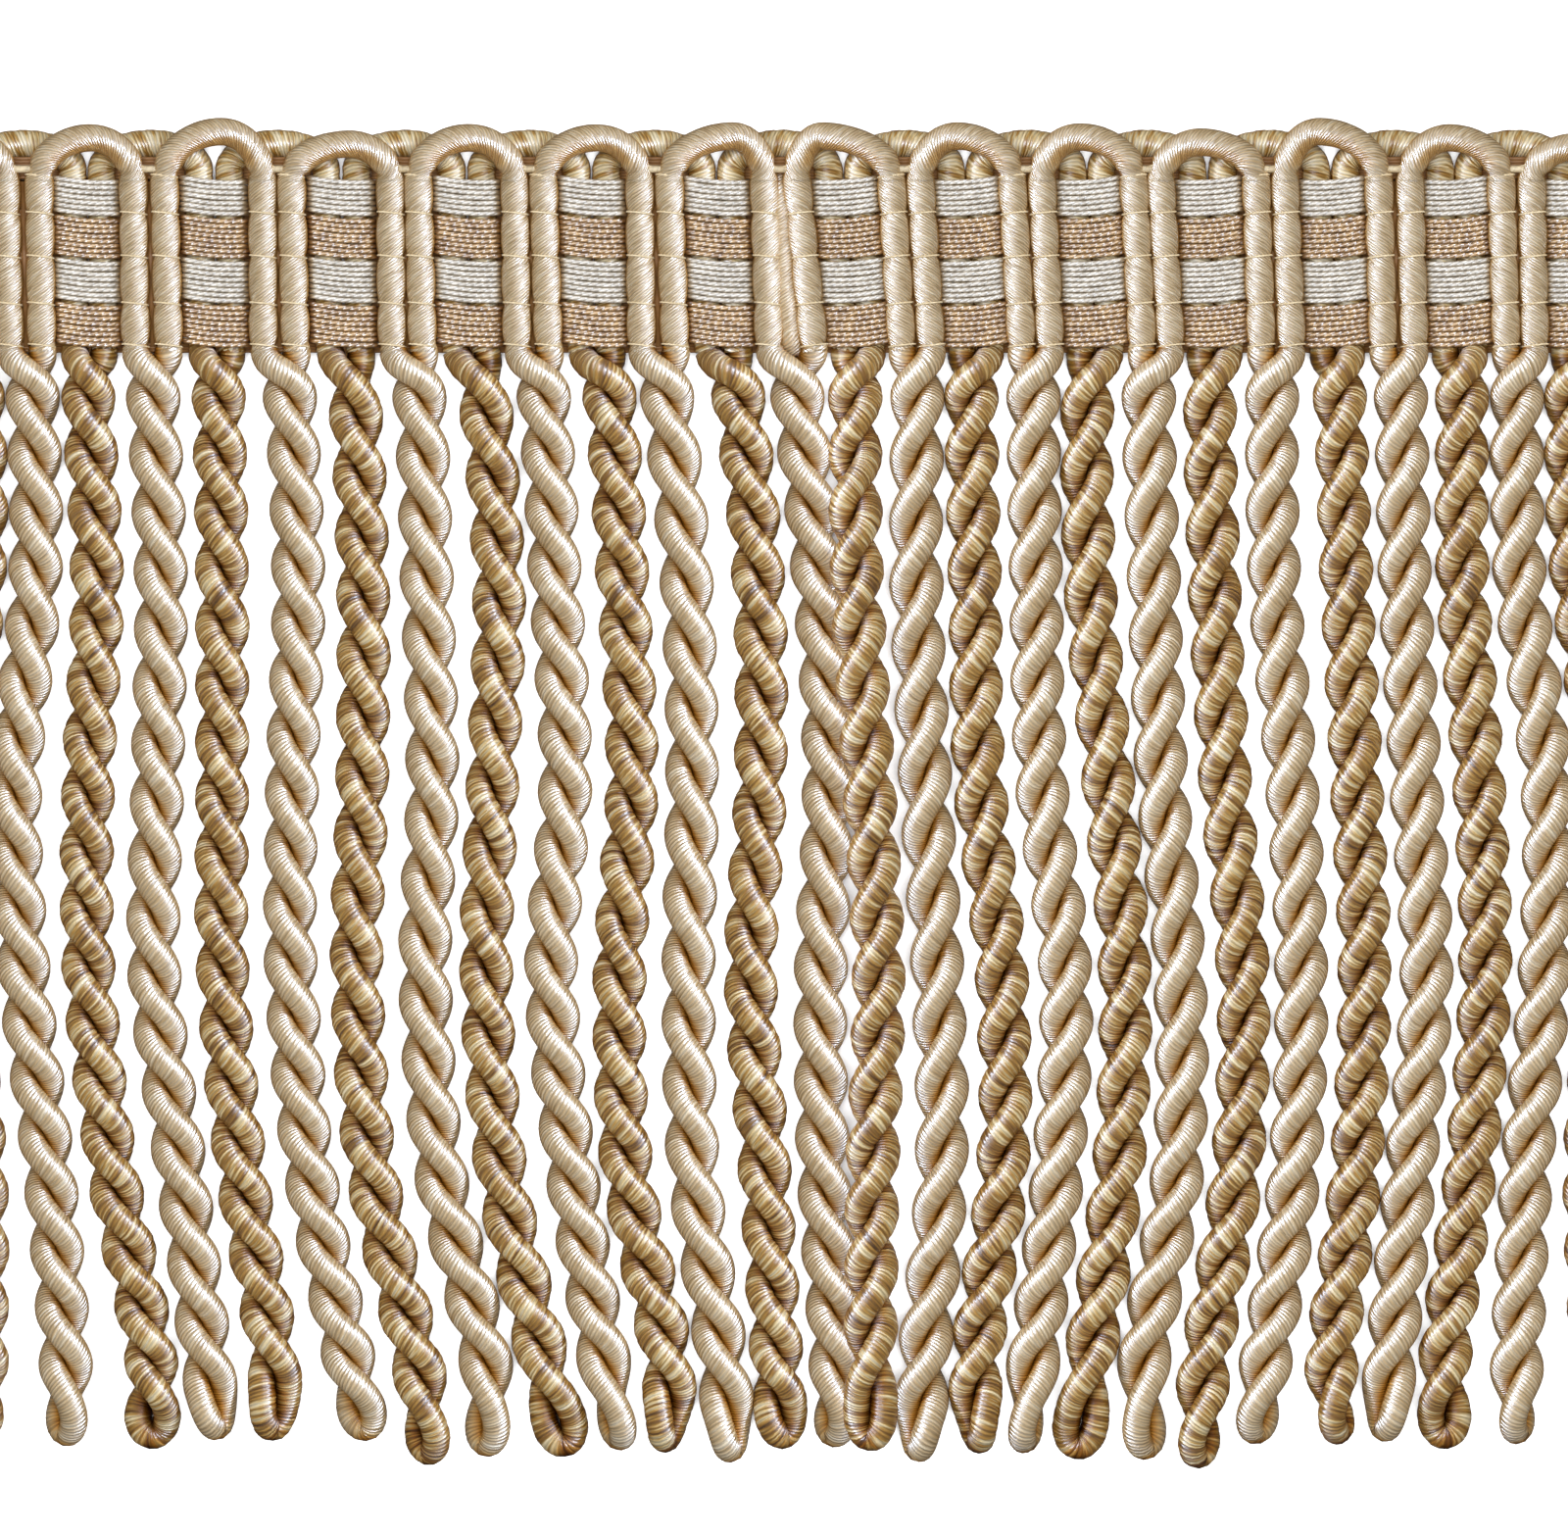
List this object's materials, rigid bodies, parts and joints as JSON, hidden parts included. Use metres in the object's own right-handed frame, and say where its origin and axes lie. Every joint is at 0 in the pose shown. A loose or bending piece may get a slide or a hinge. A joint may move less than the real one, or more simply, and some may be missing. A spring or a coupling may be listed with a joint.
{
  "type": "bullion fringe trim",
  "caption": "Cut length of bullion fringe: a cream and tan looped gimp heading woven with yarn bands, above a row of twisted ropes that end in small loops, lying flat.",
  "frame": {"origin": "under the middle of the trim, on the surface that it lies on", "axes": "+X along the trim to the right in the picture, +Y up to the heading's crown, +Z off the surface towards the viewer"},
  "size_m": [0.1964, 0.1523, 0.0098],
  "materials": {
    "cream_gimp": "silky cream viscose wound round a cord",
    "tan_gimp": "silky gold, tan and brown viscose wound in stripes round a cord",
    "white_yarn": "silky white two-ply yarn",
    "tan_yarn": "silky brown two-ply yarn"
  },
  "bodies": {
    "root": {"cream_fringe": "cream_gimp", "cream_loop_01": "cream_gimp", "cream_loop_02": "cream_gimp", "cream_loop_03": "cream_gimp", "cream_loop_04": "cream_gimp", "cream_loop_05": "cream_gimp", "cream_loop_06": "cream_gimp", "cream_loop_07": "cream_gimp", "cream_loop_08": "cream_gimp", "cream_loop_09": "cream_gimp", "cream_loop_10": "cream_gimp", "cream_loop_11": "cream_gimp", "cream_loop_12": "cream_gimp", "cream_loop_13": "cream_gimp", "cream_loop_14": "cream_gimp", "tan_fringe": "tan_gimp", "tan_loop_01": "tan_gimp", "tan_loop_02": "tan_gimp", "tan_loop_03": "tan_gimp", "tan_loop_04": "tan_gimp", "tan_loop_05": "tan_gimp", "tan_loop_06": "tan_gimp", "tan_loop_07": "tan_gimp", "tan_loop_08": "tan_gimp", "tan_loop_09": "tan_gimp", "tan_loop_10": "tan_gimp", "tan_loop_11": "tan_gimp", "tan_loop_12": "tan_gimp", "tan_loop_13": "tan_gimp", "tan_end_leg_left": "tan_gimp", "tan_end_leg_right": "tan_gimp", "white_band_upper": "white_yarn", "white_band_lower": "white_yarn", "tan_band_upper": "tan_yarn", "tan_band_lower": "tan_yarn"}
  },
  "joints": []
}
